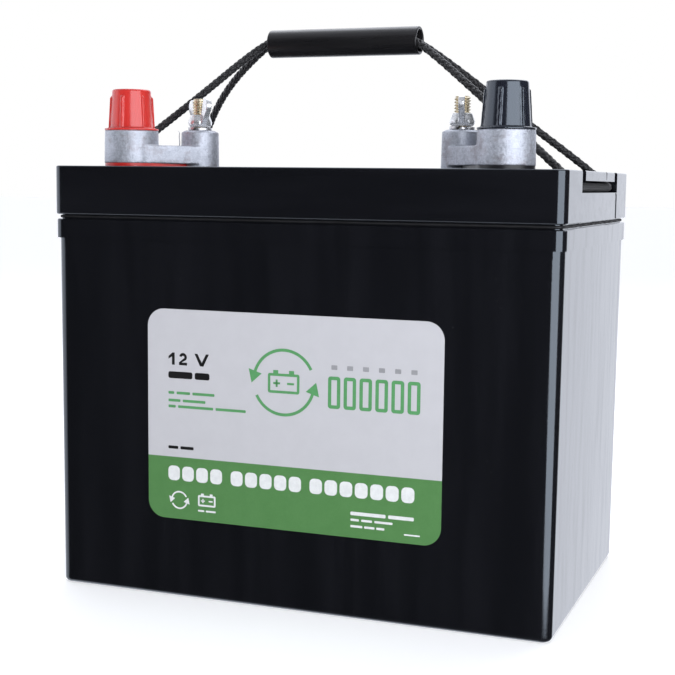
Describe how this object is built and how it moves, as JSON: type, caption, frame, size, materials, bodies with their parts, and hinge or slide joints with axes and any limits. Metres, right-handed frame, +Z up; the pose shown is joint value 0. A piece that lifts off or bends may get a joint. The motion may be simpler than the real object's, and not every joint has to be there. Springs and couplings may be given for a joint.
{
  "type": "deep cycle battery",
  "caption": "Sealed rectangular battery with a rope handle and tube grip, capped taper posts, threaded studs with wing nuts, and a flush valve cover.",
  "frame": {"origin": "middle of the case underside, at the centre of the lid in plan", "axes": "+X along the long side towards the negative terminal, +Y from the labelled face to the back, +Z up"},
  "size_m": [0.26, 0.169, 0.2876],
  "materials": {
    "case_plastic": "moulded black, light gloss",
    "lid_plastic": "moulded black, light gloss",
    "cover_plastic": "fine spark texture",
    "vent_rubber": "matt",
    "label_film": "printed film, satin",
    "rope_braid": "braided polyester",
    "grip_plastic": "smooth satin tube",
    "terminal_casting": "dull as-cast lead alloy",
    "stud_steel": "yellow zinc plate",
    "washer_steel": "bright zinc plate",
    "nut_steel": "bright zinc plate",
    "red_cap": "glossy red",
    "black_cap": "glossy black",
    "red_seal": "moulded red",
    "black_seal": "moulded black",
    "lead": "dull lead alloy",
    "positive_paste": "brown lead dioxide paste, matt",
    "negative_paste": "grey spongy lead, matt",
    "glass_mat": "white glass fibre mat"
  },
  "bodies": {
    "battery": {"case": "case_plastic", "cell_1_glass_mat": "glass_mat", "cell_1_negative_plates": "negative_paste", "cell_1_positive_plates": "positive_paste", "cell_2_glass_mat": "glass_mat", "cell_2_negative_plates": "negative_paste", "cell_2_positive_plates": "positive_paste", "cell_3_glass_mat": "glass_mat", "cell_3_negative_plates": "negative_paste", "cell_3_positive_plates": "positive_paste", "cell_4_glass_mat": "glass_mat", "cell_4_negative_plates": "negative_paste", "cell_4_positive_plates": "positive_paste", "cell_5_glass_mat": "glass_mat", "cell_5_negative_plates": "negative_paste", "cell_5_positive_plates": "positive_paste", "cell_6_glass_mat": "glass_mat", "cell_6_negative_plates": "negative_paste", "cell_6_positive_plates": "positive_paste", "cell_weld_1": "lead", "cell_weld_2": "lead", "cell_weld_3": "lead", "cell_weld_4": "lead", "cell_weld_5": "lead", "front_label": "label_film", "lid": "lid_plastic", "negative_bushing": "lead", "negative_pillar": "lead", "negative_seal_plate": "black_seal", "negative_stud": "stud_steel", "negative_terminal": "terminal_casting", "positive_bushing": "lead", "positive_pillar": "lead", "positive_seal_plate": "red_seal", "positive_stud": "stud_steel", "positive_terminal": "terminal_casting", "valve_cover": "cover_plastic", "vent_cap_1": "vent_rubber", "vent_cap_2": "vent_rubber", "vent_cap_3": "vent_rubber", "vent_cap_4": "vent_rubber", "vent_cap_5": "vent_rubber", "vent_cap_6": "vent_rubber"},
    "handle": {"handle_rope": "rope_braid"},
    "grip": {"handle_grip": "grip_plastic"},
    "positive_washer": {"positive_lock_washer": "washer_steel"},
    "negative_washer": {"negative_lock_washer": "washer_steel"},
    "positive_nut": {"positive_wing_nut": "nut_steel"},
    "negative_nut": {"negative_wing_nut": "nut_steel"},
    "positive_cap": {"positive_post_cap": "red_cap"},
    "negative_cap": {"negative_post_cap": "black_cap"}
  },
  "joints": [
    {"name": "handle_swing", "type": "hinge", "parent": "battery", "child": "handle", "pos_m": [0, 0, 0.2145], "axis": [-1, 0, 0], "range_deg": [-8, 80], "deforming": ["handle_rope"]},
    {"name": "grip_turn", "type": "hinge", "parent": "handle", "child": "grip", "pos_m": [-0.0059, 0, 0.2804], "axis": [1, 0, 0], "continuous": true},
    {"name": "positive_cap_lift", "type": "slide", "parent": "battery", "child": "positive_cap", "axis": [0, 0, 1], "range_m": [0, 0.03]},
    {"name": "positive_washer_lift", "type": "slide", "parent": "battery", "child": "positive_washer", "axis": [0, 0, 1], "range_m": [0, 0.01451]},
    {"name": "positive_nut_turn", "type": "hinge", "parent": "positive_washer", "child": "positive_nut", "pos_m": [-0.0697, -0.04, 0.235], "axis": [0, 0, 1], "range_deg": [0, 3600]},
    {"name": "negative_cap_lift", "type": "slide", "parent": "battery", "child": "negative_cap", "axis": [0, 0, 1], "range_m": [0, 0.03]},
    {"name": "negative_washer_lift", "type": "slide", "parent": "battery", "child": "negative_washer", "axis": [0, 0, 1], "range_m": [0, 0.01451]},
    {"name": "negative_nut_turn", "type": "hinge", "parent": "negative_washer", "child": "negative_nut", "pos_m": [0.0697, -0.04, 0.235], "axis": [0, 0, 1], "range_deg": [0, 3600]}
  ],
  "couplings": [
    {"joint": "positive_washer_lift", "follows": "positive_nut_turn", "m_per_rad": 0.00022459},
    {"joint": "negative_washer_lift", "follows": "negative_nut_turn", "m_per_rad": 0.00022459}
  ]
}
